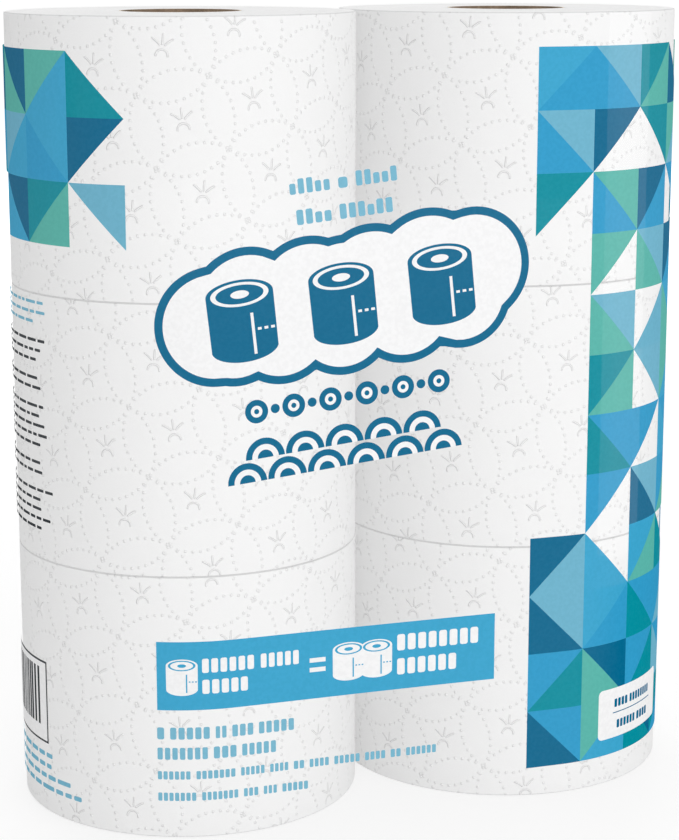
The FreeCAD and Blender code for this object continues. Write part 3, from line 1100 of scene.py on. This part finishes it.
# A box of plain upright bars
def addBarBox(bm, values, chance):
    left, bottom = values["place"]
    width, height = values["size"]
    edge = values["frame"]
    addBlock(bm, "black", 0, left, bottom, width, height)
    addBlock(bm, "white", 1, left + edge, bottom + edge, width - 2 * edge, height - 2 * edge)
    before, below, after, above = values["margins"]
    across = left + before
    while across < left + width - after:
        bar = values["bar"][0] + chance.random() * values["bar"][1]
        addBlock(bm, "black", 2, across, bottom + below, bar, height - below - above)
        across += bar + values["gap"][0] + chance.random() * values["gap"][1]


def makeSmallPrint(values):
    chance = random.Random(values["seed"])
    bm = bmesh.new()
    up = values["top"]
    for color, count in values["blocks"]:
        for _ in range(count):
            room = values["room"] - chance.random() * values["ragged"]
            addLine(bm, color, values["left"], up, room, values["text"], chance)
            up -= values["pitch"]
        up -= values["pitch"] * values["blockGap"]
    left, up = values["footPlace"]
    for line, room in enumerate(values["footLines"]):
        addLine(bm, "pale", left, up - line * values["footPitch"], room, values["foot"], chance)
    addBarBox(bm, barBox, chance)
    finishPrint(bm, "print_side")


# Stage: pale floor, studio light and the camera

cameraPose = {
    "place": (-0.27433, -0.81456, 0.32313),
    "yaw": 0.3215,
    "pitch": 0.2101,
    "roll": -0.0004,
    "lens": 95.62,
    "sensor": 36.0,
    "farthest": 50.0,
}


def makeCamera(values):
    camera = bpy.data.objects.new("camera", bpy.data.cameras.new("camera"))
    bpy.context.scene.collection.objects.link(camera)
    camera.data.lens = values["lens"]
    camera.data.sensor_width = values["sensor"]
    camera.data.clip_end = values["farthest"]
    yaw, pitch = values["yaw"], values["pitch"]
    forward = Vector((math.sin(yaw) * math.cos(pitch), math.cos(yaw) * math.cos(pitch), -math.sin(pitch)))
    right = Vector((math.cos(yaw), -math.sin(yaw), 0))
    upward = right.cross(forward)
    aimed = Matrix((right, upward, -forward)).transposed().to_4x4() @ Matrix.Rotation(values["roll"], 4, "Z")
    camera.matrix_world = Matrix.Translation(values["place"]) @ aimed
    bpy.context.scene.camera = camera


studio = {
    "world": 0.62,
    "key": {"place": (0.62, -1.95, 0.5), "size": (2.8, 1.6), "power": 17.2},
    "fill": {"place": (-0.9, -2.1, 0.4), "size": (1.6, 1.4), "power": 6.4},
    "back": {"place": (0.4, 2.2, 1.2), "size": (2.4, 1.6), "power": 17.0},
    "top": {"place": (0.0, 0.2, 2.3), "size": (1.2, 1.2), "power": 6.5},
    "gloss": {"place": (0.389, -0.160, 0.205), "size": (0.25, 0.40), "power": 0.5},
    "floorWhite": 0.82,
    "floorGlow": 0.26,
    "farGlow": 0.52,        # where the lamps no longer reach
    "glowFrom": 0.7,        # metres from the pack
    "glowTo": 1.8,
    "aim": (0.0, 0.0, 0.15),
}


def addLamp(name, values, target):
    data = bpy.data.lights.new(name, "AREA")
    data.shape = "RECTANGLE"
    data.size, data.size_y = values["size"]
    data.energy = values["power"]
    lamp = bpy.data.objects.new(name, data)
    bpy.context.scene.collection.objects.link(lamp)
    lamp.location = values["place"]
    lamp.rotation_euler = (Vector(target) - Vector(values["place"])).to_track_quat("-Z", "Y").to_euler()
    lamp.visible_camera = False
    return lamp


# True for what the camera sees, also in a mirror or through glass, but not for light on the object
def seenDirectly(tree):
    rays = tree.nodes.new("ShaderNodeLightPath")
    seen = calc(tree, "MAXIMUM", rays.outputs["Is Camera Ray"], rays.outputs["Is Transmission Ray"])
    return calc(tree, "MAXIMUM", seen, rays.outputs["Is Glossy Ray"])


def makeStage(values):
    for name in ("key", "fill", "back", "top"):
        lamp = addLamp(name + "Lamp", values[name], values["aim"])
        lamp.visible_glossy = False
    gloss = addLamp("glossPanel", values["gloss"], (columnX, 0, values["gloss"]["place"][2]))
    gloss.visible_diffuse = False
    gloss.visible_transmission = False

    world = bpy.data.worlds.new("studio")
    bpy.context.scene.world = world
    world.use_nodes = True
    world.cycles.sampling_method = "NONE"
    tree = world.node_tree
    strength = ramp(tree, seenDirectly(tree), 0.0, 1.0, values["world"], 1.0)
    background = tree.nodes["Background"]
    background.inputs["Color"].default_value = (1, 1, 1, 1)
    tree.links.new(strength, background.inputs["Strength"])

    bm = bmesh.new()
    bmesh.ops.create_grid(bm, x_segments=1, y_segments=1, size=40.0)
    floorLook, tree, shader = newMaterial("paleFloor", Roughness=0.9)
    shader.inputs["Specular IOR Level"].default_value = 0.0
    white = values["floorWhite"]
    shader.inputs["Base Color"].default_value = (white, white, white, 1)
    shader.inputs["Emission Color"].default_value = (1, 1, 1, 1)
    x, y, _ = splitVector(tree, coordinates(tree, "Object"))
    away = hypot(tree, x, y)
    glow = ramp(tree, away, values["glowFrom"], values["glowTo"], values["floorGlow"], values["farGlow"])
    tree.links.new(calc(tree, "MULTIPLY", seenDirectly(tree), glow), shader.inputs["Emission Strength"])
    floor = finishMesh(bm, "floor", [floorLook])
    print("stage set")


bpy.context.scene.view_settings.view_transform = "Standard"
makeCamera(cameraPose)
makeStage(studio)
makeRolls()
dressCores()
makeFilm()
makeLap(lap)
inkMaterials = {name: makeInk(name) for name in inkNames}
makeMosaic(mosaic)
makePlaque(plaque)
makeCaptions(captions)
makeField(panel, "print_panel")
makeField(label, "print_label")
makeSmallPrint(smallPrint)
print("print laid on the film")
